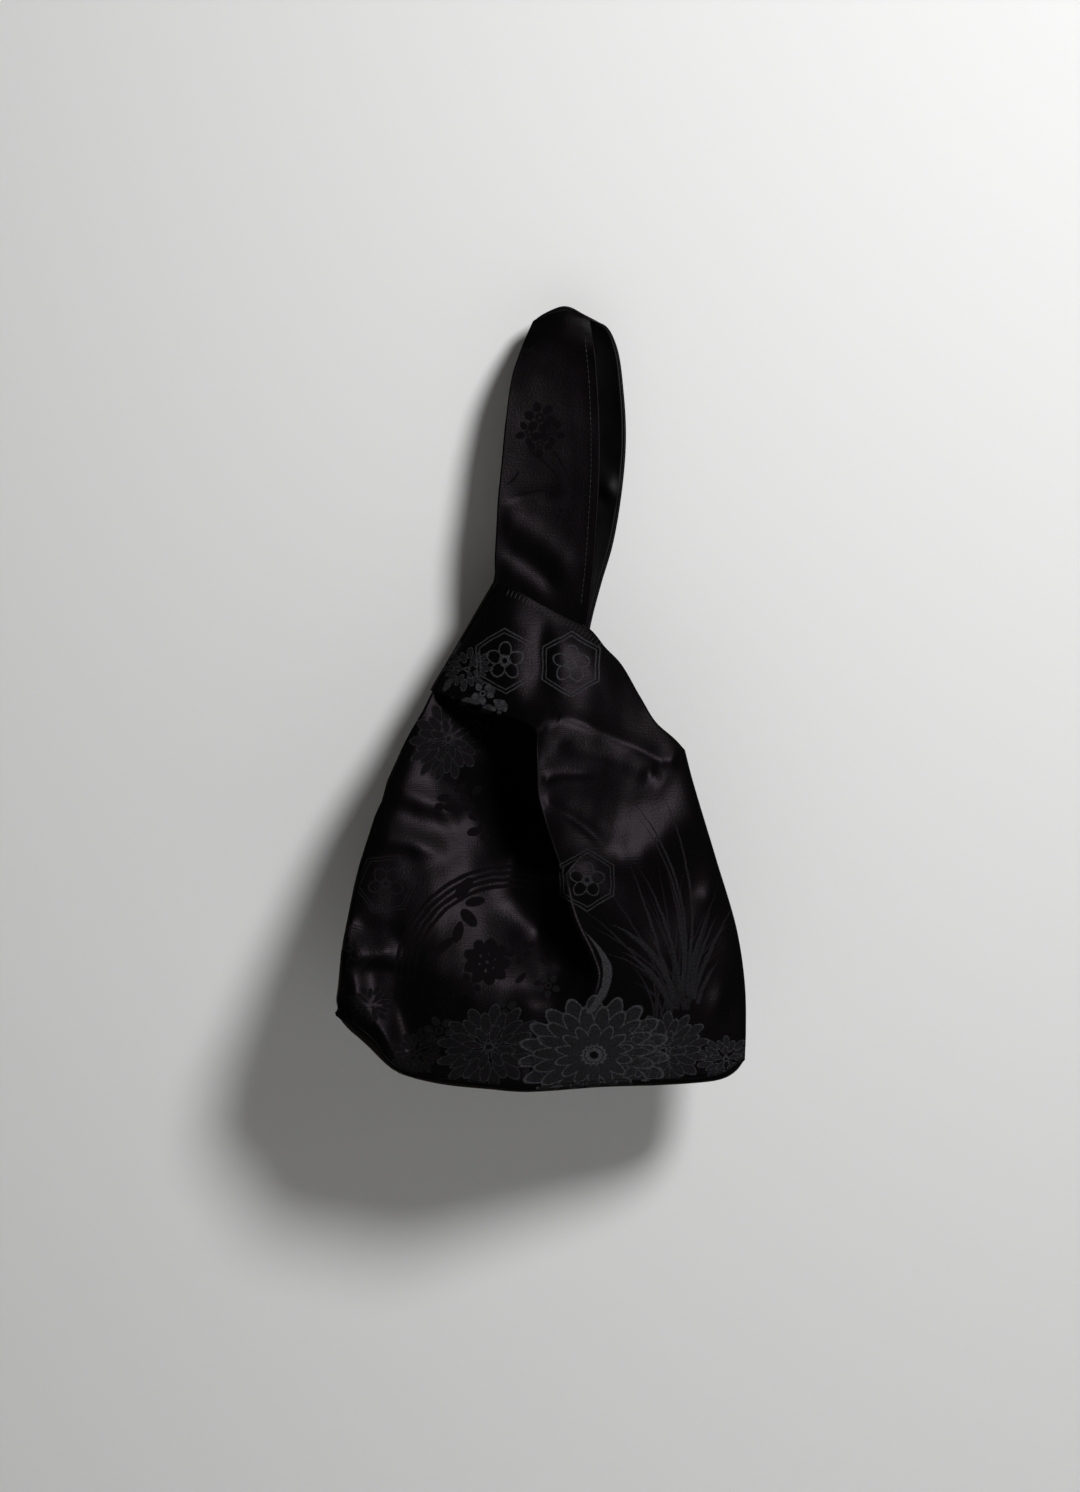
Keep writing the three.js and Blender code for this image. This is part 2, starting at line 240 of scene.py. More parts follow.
# Depth of the cloth away from its edges, for the left and the right flap of each panel
frontDepth = {
    "shared": [(561, 875, -57), (567, 888, -60), (572, 912, -63), (581, 934, -66), (592, 953, -69),
               (600, 972, -70), (595, 994, -71), (587, 1014, -71), (581, 1050, -70), (579, 1085, -68),
               (521, 1087, -69), (443, 1078, -65), (620, 1080, -56), (680, 1078, -39)],
    "left": [(425, 730, -18), (447, 738, -14), (465, 740, -9.5), (480, 745, -5.5), (492, 750, -3),
             (505, 750, 0), (421, 756, -25.5), (418, 772, -30), (440, 772, -25.5), (443, 760, -20.5),
             (462, 763, -14), (478, 768, -9.5), (411, 784, -31.5), (440, 784, -28.5), (457, 787, -25),
             (474, 788, -20), (487, 790, -14.5), (502, 785, -3), (530, 785, 3), (385, 829, -38),
             (400, 829, -37.5), (440, 829, -34), (465, 829, -31), (489, 829, -26.5), (505, 829, -20),
             (518, 829, -8), (550, 829, -6), (375, 870, -45.5), (400, 870, -45.5), (430, 870, -44),
             (470, 870, -39.5), (500, 870, -33), (513, 870, -28.5), (533, 872, -38), (360, 930, -56),
             (385, 930, -56), (430, 930, -55), (460, 930, -53), (485, 930, -50), (505, 930, -45.5),
             (520, 930, -41.5), (541, 930, -38), (352, 948, -62), (375, 947, -59.5), (398, 944, -57),
             (380, 965, -61), (430, 968, -62), (480, 968, -60), (520, 968, -55.5), (548, 962, -51),
             (570, 968, -55), (566, 1000, -67), (560, 1012, -69), (370, 1000, -60), (430, 1004, -63),
             (480, 1004, -66), (530, 1006, -68), (545, 1022, -67), (505, 1022, -66), (510, 985, -61),
             (545, 985, -58), (395, 1040, -61), (450, 1042, -65), (520, 1042, -68)],
    "right": [(541, 800, -60), (541, 760, -60.5), (556, 735, -51), (561, 720, -45.5), (580, 712, -42),
              (592, 713, -40), (606, 714, -36.5), (620, 716, -32.5), (640, 735, -34), (605, 738, -41.5),
              (641, 753, -37.5), (665, 768, -35.5), (556, 778, -57.5), (580, 776, -53), (604, 776, -48),
              (556, 800, -57), (575, 800, -53), (600, 800, -47.5), (618, 802, -43), (565, 818, -55.5),
              (582, 826, -52.5), (604, 842, -50), (630, 788, -42.5), (690, 782, -31), (667, 801, -36),
              (645, 819, -41), (628, 840, -45.7), (620, 861, -50), (685, 819, -36), (663, 837, -41),
              (646, 858, -45.7), (702, 812, -30), (683, 844, -34), (663, 866, -39), (580, 876, -52),
              (602, 884, -49), (632, 890, -43.5), (700, 860, -27), (672, 892, -34), (600, 905, -50),
              (640, 905, -40), (680, 905, -31), (710, 900, -24.5), (610, 960, -55), (660, 960, -38),
              (705, 960, -26), (725, 960, -20.5), (620, 1020, -55), (670, 1020, -38), (710, 1020, -26),
              (730, 1020, -20), (715, 1060, -27), (530, 700, -38.5), (505, 690, -36), (560, 690, -36.5),
              (577, 690, -36), (600, 690, -32.5), (615, 690, -28.5), (545, 655, -28.5), (500, 655, -28),
              (590, 655, -27), (470, 680, -24), (455, 665, -13), (520, 610, -23), (560, 630, -24)],
}

backDepth = {
    "shared": [(548, 870, 12), (545, 930, 14), (545, 1000, 15), (545, 1080, 14), (440, 1080, 12),
               (650, 1080, 12)],
    "left": [(380, 960, -2), (400, 880, 2), (420, 820, 2), (440, 760, 4), (470, 730, 5), (480, 830, 9),
             (460, 940, 12), (400, 1020, 4), (470, 1010, 14)],
    "right": [(560, 800, 15), (600, 740, 14), (640, 740, 11), (620, 850, 15), (680, 850, 6), (640, 940, 15),
              (700, 950, 5), (710, 1020, 2), (640, 1020, 15)],
}

# The ridge between the flaps, which both of them share
ridge = dict(path=[(559, 868), (568, 890), (573, 914), (582, 936), (593, 955), (600, 973), (596, 992),
                   (587, 1014)], lift=3.0, reach=(20, 8), crease=0.3)

# Folds of each panel: where they run, how far they stand out and how wide they are
frontFolds = {
    "left": [
        dict(path=[(380, 789), (410, 797), (436, 806), (466, 818)], lift=2.8, reach=(12, 12)),
        dict(path=[(364, 836), (400, 841), (430, 849), (452, 857)], lift=3.6, reach=(16, 11), ends=(12, 34)),
        dict(path=[(346, 926), (376, 932), (408, 936)], lift=-2.0, reach=(12, 12), ends=(10, 25)),
        dict(path=[(340, 962), (370, 957), (404, 949)], lift=2.4, reach=(22, 4), crease=0.4, ends=(4, 20)),
        dict(path=[(350, 974), (380, 970), (420, 976)], lift=-3.6, reach=(6, 18)),
        dict(path=[(332, 984), (346, 991), (361, 1009), (375, 1033), (388, 1064)], lift=4.5, reach=(15, 13)),
        dict(path=[(396, 988), (408, 1030), (418, 1068)], lift=-4.0, reach=(24, 12)),
        dict(path=[(405, 968), (450, 975), (500, 978), (545, 975)], lift=1.6, reach=(26, 12)),
        dict(path=[(450, 1001), (500, 1000), (566, 1003)], lift=1.4, reach=(9, 16)),
        ridge,
        dict(path=[(535, 882), (550, 925), (566, 958), (572, 990)], lift=-2.6, reach=(16, 14)),
        dict(path=[(531, 1028), (531, 1050), (531, 1090)], lift=-1.3, reach=(3, 3), ends=(14, 1)),
    ],
    "right": [
        dict(path=[(536, 729), (548, 722), (561, 718), (580, 722), (605, 734), (641, 750), (668, 766)],
             lift=1.9, reach=(8, 4), crease=0.6, ends=(8, 8)),
        dict(path=[(556, 744), (600, 754), (640, 768), (656, 776)], lift=-1.4, reach=(8, 10), ends=(20, 8)),
        dict(path=[(681, 744), (675, 756), (668, 767)], lift=2.4, reach=(5, 8), crease=0.4, ends=(6, 6)),
        dict(path=[(640, 769), (653, 776), (664, 782)], lift=-1.4, reach=(7, 9), ends=(12, 10)),
        dict(path=[(541, 784), (556, 776), (580, 774), (608, 775)], lift=1.6, reach=(6, 3), crease=0.6,
             ends=(8, 25)),
        dict(path=[(540, 801), (559, 811), (582, 826), (608, 848)], lift=1.8, reach=(7, 3), crease=0.6,
             ends=(8, 20)),
        dict(path=[(719, 882), (709, 895), (698, 914)], lift=3.0, reach=(10, 11)),
        dict(path=[(726, 975), (722, 995), (716, 1024)], lift=2.2, reach=(8, 10)),
        ridge,
    ],
    "strap": [
        dict(path=[(498, 501), (530, 497), (566, 492)], lift=-1.2, reach=(10, 5), crease=0.4),
        dict(path=[(494, 513), (524, 529), (550, 550), (576, 579)], lift=1.3, reach=(14, 13)),
        dict(path=[(492, 538), (516, 555), (539, 571), (564, 597)], lift=-1.0, reach=(10, 9)),
        dict(path=[(492, 560), (516, 577), (539, 595), (556, 611)], lift=1.0, reach=(13, 14)),
    ],
    "band": [
        dict(path=[(510, 596), (509, 640), (508, 668), (505, 705)], lift=2.2, reach=(18, 18)),
        dict(path=[(543, 612), (542, 650), (540, 695)], lift=-1.2, reach=(8, 10)),
        dict(path=[(563, 622), (561, 660), (557, 705)], lift=2.0, reach=(16, 13)),
    ],
}

backFolds = {
    "left": [
        dict(path=[(392, 800), (440, 840), (490, 900), (520, 960)], lift=-3.0, reach=(16, 14)),
        dict(path=[(400, 790), (450, 810), (500, 850)], lift=2.4, reach=(12, 12)),
        dict(path=[(360, 900), (400, 930), (450, 990)], lift=-3.0, reach=(18, 16)),
    ],
    "right": [
        dict(path=[(680, 770), (640, 810), (600, 870), (575, 950)], lift=-3.4, reach=(16, 16)),
        dict(path=[(690, 800), (660, 850), (640, 920)], lift=2.6, reach=(14, 14)),
        dict(path=[(720, 900), (690, 950), (670, 1030)], lift=-2.4, reach=(16, 16)),
    ],
    "strap": [
        dict(path=[(530, 490), (560, 510), (600, 530)], lift=-1.6, reach=(10, 10)),
        dict(path=[(520, 540), (555, 560), (595, 590)], lift=1.4, reach=(9, 9)),
        dict(path=[(588, 474), (604, 486), (624, 506)], lift=2.4, reach=(12, 6)),
    ],
    "band": [
        dict(path=[(548, 612), (540, 660), (530, 705)], lift=-1.6, reach=(16, 14)),
        dict(path=[(590, 640), (585, 680), (575, 720)], lift=1.4, reach=(12, 14)),
    ],
}

# Places of the front where the cloth runs over without a crease: right, down, reach, rounds of smoothing
calm = [(545, 712, 16, 8)]

# One panel, cut in one with its half of the long handle and its half of the short one
panel = {
    "grid": {"left": 62, "neck": 4, "right": 72, "body": 96, "long": 250, "short": 118},
    "crestPoints": {-1: 10, 1: 4},  # how many of the shared points make the crest, in front and behind
    "crestBlend": 24,               # pixels over which the left flap's depth becomes the right flap's
    "sideRoll": 16,                 # pixels in from a side seam over which the cloth rolls round
    "footPull": 34,                 # pixels in from the foot seam that it pulls the cloth
    "handlePull": 30,               # the same for a handle's edge
    "foldHold": 14,                 # pixels in from an edge where folds reach their full height
    "handleHold": 0.35,             # share of a fold's height left at a handle's edge
    "swell": 8.5,                   # pixels that the back bulges past the left seam
    "swellReach": 26,
    "swellEnds": (0.08, 0.15),      # shares of the seam over which the bulge fades
    "flatFrom": 0.22,               # share of a handle's length after which its seam no longer rolls
    "hollow": 6.8,                  # dip of the long handle's front
    "turnAway": 0.4,                # how late the long handle's back turns away towards the neck edge
    "crown": {"long": 0.6, "short": 1.6},
    "settle": {"long": (0.1, 0.3), "short": (0.62, 0.92)},  # where a handle leaves the pouch's shape
    "handleRipple": 0.5,            # a handle is pulled straighter
    "endFade": 0.03,
    "smoothing": 3,
    "backDetail": 0.8,
}
weldDistance = 0.00008


# Turns a sheet's faces so that they look the given way
def faceTowards(bm, way):
    bmesh.ops.recalc_face_normals(bm, faces=bm.faces)
    bm.normal_update()
    if sum(f.normal.dot(Vector(way)) * f.calc_area() for f in bm.faces) < 0:
        bmesh.ops.reverse_faces(bm, faces=bm.faces)


def panelSheet(cut, depths, folds, side, detail=1.0):
    counts = {key: max(2, int(round(value * detail))) for key, value in panel["grid"].items()}
    columns = counts["left"] + counts["neck"] + counts["right"]
    lines = {key: lineThrough(points) for key, points in {**seams, **cut}.items()}
    footLine = lines["frontFoot" if side < 0 else "backFoot"]
    leftDepth = depthThrough(depths["shared"] + depths["left"])
    rightDepth = depthThrough(depths["shared"] + depths["right"])
    crestSpots = [p[:2] for p in depths["shared"][:panel["crestPoints"][side]]]
    crestLine = lineThrough(crestSpots)(np.linspace(0, 1, 60))

    def mouth(s):
        column = s * columns
        out = np.where((column <= counts["left"])[:, None],
                       lines["leftMouth"](np.clip(column / counts["left"], 0, 1)), 0.0)
        inNeck = (column > counts["left"]) & (column <= counts["left"] + counts["neck"])
        neckShare = np.clip((column - counts["left"]) / counts["neck"], 0, 1)
        out = np.where(inNeck[:, None], lines["neck"](neckShare), out)
        pastNeck = column > counts["left"] + counts["neck"]
        rightShare = np.clip((column - counts["left"] - counts["neck"]) / counts["right"], 0, 1)
        return np.where(pastNeck[:, None], lines["rightMouth"](rightShare), out)

    def foldsOn(right, down, names):
        total = np.zeros(len(right))
        for name in names:
            for fold in folds.get(name, []):
                total += foldLift(right, down, **fold)
        return total + rippleLift(right, down)

    # edges pull the cloth to their own depth over a short way in
    def pulled(depth, fieldAt, edgeSpots, spots, reach, roll):
        gap = edgeSpots[:, 2] - fieldAt(edgeSpots)
        near = 1 - np.minimum(flatGap(spots, edgeSpots) / reach, 1)
        rest = 1 - np.sqrt(np.clip(1 - near**2, 0, 1)) if roll else near**2
        return depth + gap * rest

    def flapShare(p):  # 0 on the left flap, 1 on the right one
        crest = np.interp(p[:, 1], crestLine[:, 1], crestLine[:, 0])
        return easeTo((p[:, 0] - crest) / panel["crestBlend"] + 0.5)

    def pouchDepth(p):
        share = flapShare(p)
        return (1 - share) * leftDepth(p[:, 0], p[:, 1]) + share * rightDepth(p[:, 0], p[:, 1])

    bm = bmesh.new()
    cloth = bm.verts.layers.float_vector.new("cloth")

    def grow(columnsCount, rowsCount, shape):
        made = bmesh.ops.create_grid(bm, x_segments=columnsCount, y_segments=rowsCount, size=0.5)["verts"]
        st = np.array([v.co[:2] for v in made]) + 0.5
        spots = shape(np.clip(st[:, 0], 0, 1), np.clip(st[:, 1], 0, 1))
        for v, place, spot in zip(made, fromSketch(spots), spots):
            v.co = place
            v[cloth] = spot

    def body(s, t):
        spots = patchMix(footLine, mouth, lines["leftSide"], lines["rightSide"], s, t)
        right, down = spots[:, 0], spots[:, 1]
        share = flapShare(spots)
        lifts = (1 - share) * foldsOn(right, down, ["left"]) + share * foldsOn(right, down, ["right"])
        leftEdge, rightEdge, lowEdge = lines["leftSide"](t), lines["rightSide"](t), footLine(s)
        depth = pouchDepth(spots)
        depth = pulled(depth, pouchDepth, leftEdge, spots, panel["sideRoll"], True)
        depth = pulled(depth, pouchDepth, rightEdge, spots, panel["sideRoll"], True)
        depth = pulled(depth, pouchDepth, lowEdge, spots, panel["footPull"], False)
        edgeGap = np.minimum.reduce([flatGap(spots, edge) for edge in (leftEdge, rightEdge, lowEdge)])
        spots[:, 2] = depth - lifts * easeTo(edgeGap / panel["foldHold"])
        if side > 0:  # the back swells a little past the left seam
            out = np.sqrt(np.clip(flatGap(spots, leftEdge) / panel["swellReach"], 0, 1))
            lowEnd, highEnd = panel["swellEnds"]
            fade = easeTo(t / lowEnd) * easeTo((1 - t) / highEnd)
            spots[:, 0] -= panel["swell"] * np.sin(math.pi * out) * fade
        onLeft, onRight, onLow = s < 1e-6, s > 1 - 1e-6, t < 1e-6
        spots[onLeft] = leftEdge[onLeft]
        spots[onRight] = rightEdge[onRight]
        spots[onLow] = lowEdge[onLow]
        return spots

    def arm(kind, low, high, left, right, names, depthField):
        start, end = panel["settle"][kind]

        def field(p):
            return depthField(p[:, 0], p[:, 1])

        def shape(s, t):
            spots = patchMix(low, high, left, right, s, t)
            near = 1 - easeTo((t - start) / (end - start))
            leftEdge, rightEdge = left(t), right(t)
            seamEdge, neckEdge = (leftEdge, rightEdge) if kind == "long" else (rightEdge, leftEdge)
            opened = []
            for rolled in (True, False):  # rolled as the pouch's side at its foot, then flat as a handle
                reach = panel["sideRoll"] if rolled else panel["handlePull"]
                depth = pulled(field(spots), field, seamEdge, spots, reach, rolled)
                opened.append(pulled(depth, field, neckEdge, spots, panel["handlePull"], False))
            turned = easeTo(t / panel["flatFrom"])
            openDepth = (1 - turned) * opened[0] + turned * opened[1]
            strapDepth = spots[:, 2]
            if kind == "long":
                late = panel["turnAway"] if side > 0 else 0
                turn = (1 - late) * s + late * s**5
                hollow = panel["hollow"] * s * (1 - s) if side < 0 else 0
                strapDepth = (1 - turn) * leftEdge[:, 2] + turn * rightEdge[:, 2] + hollow
            depth = near * openDepth + (1 - near) * strapDepth
            crown = panel["crown"][kind] * np.sin(math.pi * s) * (1 - near)
            lifts = foldsOn(spots[:, 0], spots[:, 1], names)
            lifts -= panel["handleRipple"] * (1 - near) * rippleLift(spots[:, 0], spots[:, 1])
            edgeGap = np.minimum(flatGap(spots, leftEdge), flatGap(spots, rightEdge))
            kept = panel["handleHold"]
            hold = kept + (1 - kept) * easeTo(edgeGap / panel["foldHold"])
            ending = easeTo((1 - t) / panel["endFade"])
            spots[:, 2] = depth + (side * crown - lifts * hold) * ending
            return spots
        return shape

    def smooth(verts, rounds):
        for _ in range(rounds):
            bmesh.ops.smooth_vert(bm, verts=verts, factor=0.5, use_axis_x=True, use_axis_y=True,
                                  use_axis_z=True)

    grow(columns, counts["body"], body)
    longArm = arm("long", lines["leftMouth"], lines["handleTop"], lines["longArmhole"], lines["longNeck"],
                  ["left", "strap"], leftDepth)
    grow(counts["left"], counts["long"], longArm)
    shortArm = arm("short", lines["rightMouth"], lines["wrapEnd"], lines["shortNeck"],
                   lines["shortArmhole"], ["right", "band"], rightDepth)
    grow(counts["right"], counts["short"], shortArm)
    bmesh.ops.remove_doubles(bm, verts=bm.verts, dist=weldDistance)
    inner = [v for v in bm.verts if not v.is_boundary]
    smooth(inner, panel["smoothing"])
    for right, down, reach, rounds in calm if side < 0 else []:
        smooth([v for v in inner if math.hypot(v[cloth].x - right, v[cloth].y - down) < reach], rounds)
    faceTowards(bm, (0, side, 0))
    return bm


# Damask satin
damask = {
    "ground": (0.0017, 0.0015, 0.0017),
    # the figures' colour, lighter than the ground's: painted sheen of their threads over the cloth's real
    # pattern
    "figure": (0.0400, 0.0397, 0.0430),
    "groundRoughness": 0.42,
    "figureRoughness": 0.95,
    "specular": 0.069,
    "specularTint": (1.0, 0.83, 0.95),
    "anisotropy": 0.55,
    "glossTurn": 0.25,       # the gloss spreads along the warp
    "thread": 0.00035,
    "edge": 0.00028,         # soft edge of a woven figure
    "waver": 0.0014,         # how far the woven outlines stray
    "waverScale": 130,
    "rowPitch": 0.0011,      # the weft shows in the figures as fine rows
    "rowDepth": 0.16,
    "grainScale": 900,
    "driftScale": 26,
    "slubScale": 160,
    "slubLength": 6,         # slubs are drawn out along the weft
    "bumpStrength": 0.35,
    "bumpDistance": 0.0003,
}

# Figures of the pattern, in the photograph's pixels on the cloth's own map
pattern = {
    # centre, half width, lean, painted sheen: how light its threads are painted, lighter where the ground
    # beside them is dim
    "hexagons": [((506, 660), 29.5, 0.03, 0.75), ((572, 663), 29.5, -0.02, 0.7),
                 ((387, 883), 28, 0.62, 0.12), ((350, 947), 24, 0.2, 0.04), ((588, 879), 28, 0.0, 0.42)],
    "hexagonPetals": 5,
    # centre, radius, petals in the outer ring, lean, painted sheen
    "blooms": [((595, 1054), 76, 19, 0.1, 0.7), ((664, 1050), 48, 14, 0.4, 0.5),
               ((490, 1046), 54, 13, 0.3, 0.32), ((727, 1058), 30, 10, 0.0, 0.6),
               ((450, 738), 46, 13, 0.9, 0.26), ((371, 1004), 26, 9, 0.2, 0.14),
               ((528, 357), 17, 8, 0.0, 0.04), ((418, 1052), 30, 10, 0.6, 0.12),
               ((468, 668), 27, 8, 0.3, 0.85)],
    "bloomHeight": 0.78,     # a bloom is wider than it is high
    "bloomFill": 0.26,       # lightness of its petals inside their outlines
    # middle, half length, half width, lean: leaves and single petals
    "darkLeaves": [((530, 945), 7, 3.5, 0.5), ((545, 960), 6, 3, -0.6), ((522, 977), 7, 3.2, 0.9),
                   ((541, 982), 6, 3, 0.2), ((465, 887), 12, 6, 0.9), ((476, 901), 10, 5, 0.2),
                   ((470, 917), 11, 5.5, -0.8), ((459, 931), 11, 5, 1.3), ((441, 948), 18, 4.6, 0.7),
                   ((452, 778), 8, 4, 0.1), ((461, 787), 7, 3.6, 0.7), ((444, 797), 6, 4, 0.2),
                   ((452, 806), 8, 4.2, 0.0), ((440, 806), 5, 4, 0.6), ((466, 797), 5, 4, -0.6),
                   ((470, 806), 6, 4, 0.3), ((478, 789), 6, 4, 0.8), ((474, 816), 5, 3.5, -0.5),
                   ((475, 831), 7, 4.5, 0.2), ((483, 826), 5, 4, -0.3), ((486, 836), 5, 4.5, 0.5)],
    "lightLeaves": [((449, 684), 8, 3, 0.9), ((456, 648), 9, 3, 0.9), ((478, 698), 8, 5, 0.2),
                    ((492, 690), 5, 4, 1.2), ((502, 704), 7, 5, -0.4), ((488, 708), 6, 4.5, 0.2),
                    ((466, 700), 6, 3.5, 0.4)],
    # middle, radius, petals, painted sheen: small round flowers
    "rounds": [((541, 417), 17, 6, 0.0), ((530, 432), 14, 5, 0.0), ((553, 431), 14, 5, 0.0),
               ((541, 443), 13, 5, 0.0), ((488, 961), 25, 9, 0.0), ((488, 961), 13, 6, 0.0),
               ((520, 950), 14, 5, 0.0), ((549, 985), 13, 5, 0.1), ((565, 514), 9, 5, 0.0),
               ((506, 1012), 16, 6, 0.1), ((440, 1030), 16, 6, 0.1), ((470, 985), 13, 6, 0.0),
               ((484, 692), 12, 5, 0.9), ((500, 706), 9, 5, 0.9)],
    "roundLean": 0.3,
    # root, tip, bend across, half width: stems of the handle's flowers, grass, and a pale curl along the
    # ridge's edge, whose lightness is partly a painted highlight of that edge
    "stems": [((530, 449), (569, 497), 5, 1.3), ((553, 449), (572, 488), 3, 1.3),
              ((521, 470), (506, 485), 1, 1.1), ((562, 491), (511, 497), -4, 1.3)],
    "blades": [((686, 990), (660, 786), -18, 1.1), ((683, 992), (626, 790), -25, 1.2),
               ((681, 992), (640, 817), -19, 1.1), ((672, 998), (631, 864), -3, 1.4),
               ((682, 994), (639, 866), -8, 1.4), ((676, 1000), (610, 922), -13, 2.6),
               ((690, 995), (697, 900), 2, 1.3), ((692, 996), (711, 905), 4, 1.4),
               ((694, 1000), (726, 924), 4, 2.2), ((698, 1004), (720, 960), 3, 2.0),
               ((693, 996), (718, 914), 4, 1.5), ((684, 994), (668, 872), -6, 1.2),
               ((670, 1004), (622, 950), -8, 2.0), ((674, 1002), (648, 930), -5, 1.6),
               ((688, 996), (703, 930), 3, 1.6)],
    # painted highlight along the ridge's fold edge, drawn as a curl of the pattern
    "curls": [((588, 1014), (585, 931), -22, 4.4)],
    # fans of fine blades: root, number, first and last lean from upright, shortest and longest
    "fans": [((681, 1010), 22, -0.95, 0.6, 60, 150), ((664, 1018), 14, -0.7, 0.6, 34, 62)],
    "fanWidth": 0.9,
    "fanFoot": 9,            # pixels that the blades' feet are spread over to either side
    "fanDroop": 55,
    # centre, radius of the outer line, direction that its fan of lines faces
    "arcs": [((510, 980), 114, 2.25)],
    "arcSpread": 0.95,
    "arcGap": 0.055,
    # painted sheen of each kind of figure: lighter where the ground around it is dim
    "sheenTones": {"darkLeaves": 0.0, "lightLeaves": 0.5, "stems": 0.0, "blades": 0.2, "curls": 0.65,
              "fans": 0.13, "arcs": 0.0},
}



def feed(tree, socket, value):
    if isinstance(value, bpy.types.NodeSocket):
        tree.links.new(value, socket)
    else:
        socket.default_value = value


def nodeMath(tree):
    def calc(operation, *values, clamp=False):
        node = tree.nodes.new("ShaderNodeMath")
        node.operation = operation
        for socket, value in zip(node.inputs, values):
            feed(tree, socket, value)
        if clamp:
            limit = tree.nodes.new("ShaderNodeClamp")  # a node of its own keeps the shader's stack short
            tree.links.new(node.outputs[0], limit.inputs[0])
            node = limit
        return node.outputs[0]
    return calc


def vectorMath(tree, operation, *values):
    node = tree.nodes.new("ShaderNodeVectorMath")
    node.operation = operation
    sockets = (node.inputs[0], node.inputs["Scale"]) if operation == "SCALE" else node.inputs
    for socket, value in zip(sockets, values):
        feed(tree, socket, value)
    return node.outputs["Value" if operation == "DOT_PRODUCT" else "Vector"]


def mixColour(tree, factor, first, second, blend="MIX"):
    node = tree.nodes.new("ShaderNodeMix")
    node.data_type = "RGBA"
    node.blend_type = blend
    for number, value in ((0, factor), (6, first), (7, second)):  # this node's sockets for colours
        feed(tree, node.inputs[number], value)
    return node.outputs[2]


def addNoise(tree, scale, detail, place):
    noise = tree.nodes.new("ShaderNodeTexNoise")
    noise.inputs["Scale"].default_value = scale
    noise.inputs["Detail"].default_value = detail
    tree.links.new(place, noise.inputs["Vector"])
    return noise


def addBump(tree, shader, height, strength, distance):
    bump = tree.nodes.new("ShaderNodeBump")
    bump.inputs["Strength"].default_value = strength
    bump.inputs["Distance"].default_value = distance
    tree.links.new(height, bump.inputs["Height"])
    tree.links.new(bump.outputs[0], shader.inputs["Normal"])


def newMaterial(name, specular):
    material = bpy.data.materials.new(name)
    material.use_nodes = True
    tree = material.node_tree
    shader = tree.nodes["Principled BSDF"]
    shader.inputs["Specular IOR Level"].default_value = specular
    return material, tree, shader


def clothPlace(tree):
    clothMap = tree.nodes.new("ShaderNodeUVMap")
    clothMap.uv_map = "cloth"
    return clothMap.outputs[0]


# One axis of a place, by a product: it takes less of the shader's stack than a split into three
def pickAxis(tree, place, axis):
    return vectorMath(tree, "DOT_PRODUCT", place, [float(i == axis) for i in range(3)])


# A spot of the sketch on the cloth's map, in metres from the picture's middle
def onCloth(spot):
    across, down = view["picture"]
    return ((spot[0] - across / 2) * view["pixel"], (down / 2 - spot[1]) * view["pixel"], 0)


# A figure as a node group: it gets its own local place, the sharpness of its edge and one number more,
# and gives the lines it shows and the cloth it covers
def figureGroup(name, draw):
    tree = bpy.data.node_groups.new(name, "ShaderNodeTree")
    for label in ("Right", "Up", "Sharp", "Count"):
        tree.interface.new_socket(label, in_out="INPUT", socket_type="NodeSocketFloat")
    for label in ("Mask", "Cover"):
        tree.interface.new_socket(label, in_out="OUTPUT", socket_type="NodeSocketFloat")
    given = tree.nodes.new("NodeGroupInput")
    right, up, sharp, count = (given.outputs[label] for label in ("Right", "Up", "Sharp", "Count"))
    calc = nodeMath(tree)
    far = calc("SQRT", calc("MULTIPLY_ADD", right, right, calc("MULTIPLY", up, up)))

    def inside(amount, limit):  # 1 where amount is under limit
        return calc("MULTIPLY_ADD", calc("SUBTRACT", limit, amount), sharp, 0.5, clamp=True)

    def outline(amount, middle, half):
        return inside(calc("ABSOLUTE", calc("SUBTRACT", amount, middle)), half)

    mask, cover = draw(calc, right, up, far, count, inside, outline)
    result = tree.nodes.new("NodeGroupOutput")
    tree.links.new(mask, result.inputs["Mask"])
    tree.links.new(cover, result.inputs["Cover"])
    return tree


# Distance in a ring of oval petals: under 1 is inside a petal
def petalRing(calc, away, angle, petals, turn, middle, half, width):
    share = calc("FRACT", calc("MULTIPLY_ADD", calc("MULTIPLY", angle, petals), 1 / (2 * math.pi), turn))
    side = calc("MULTIPLY", calc("SUBTRACT", share, 0.5), away)
    side = calc("DIVIDE", calc("MULTIPLY", side, 2 * math.pi / width), petals)
    along = calc("MULTIPLY", calc("SUBTRACT", away, middle), 1 / half)
    return calc("SQRT", calc("ADD", calc("MULTIPLY", side, side), calc("MULTIPLY", along, along)))


def drawHexagon(calc, x, y, away, count, inside, outline):
    acrossEdge, upEdge = calc("ABSOLUTE", x), calc("ABSOLUTE", y)
    edge = calc("MAXIMUM", acrossEdge, calc("MULTIPLY_ADD", upEdge, 0.866, calc("MULTIPLY", acrossEdge, 0.5)))
    total = calc("MAXIMUM", outline(edge, 0.96, 0.02), outline(edge, 0.84, 0.018))
    petals = petalRing(calc, away, calc("ARCTAN2", y, x), count, 0.3, 0.4, 0.26, 0.25)
    total = calc("MAXIMUM", total, outline(petals, 0.9, 0.11))
    total = calc("MAXIMUM", total, outline(away, 0.12, 0.03))
    return total, total


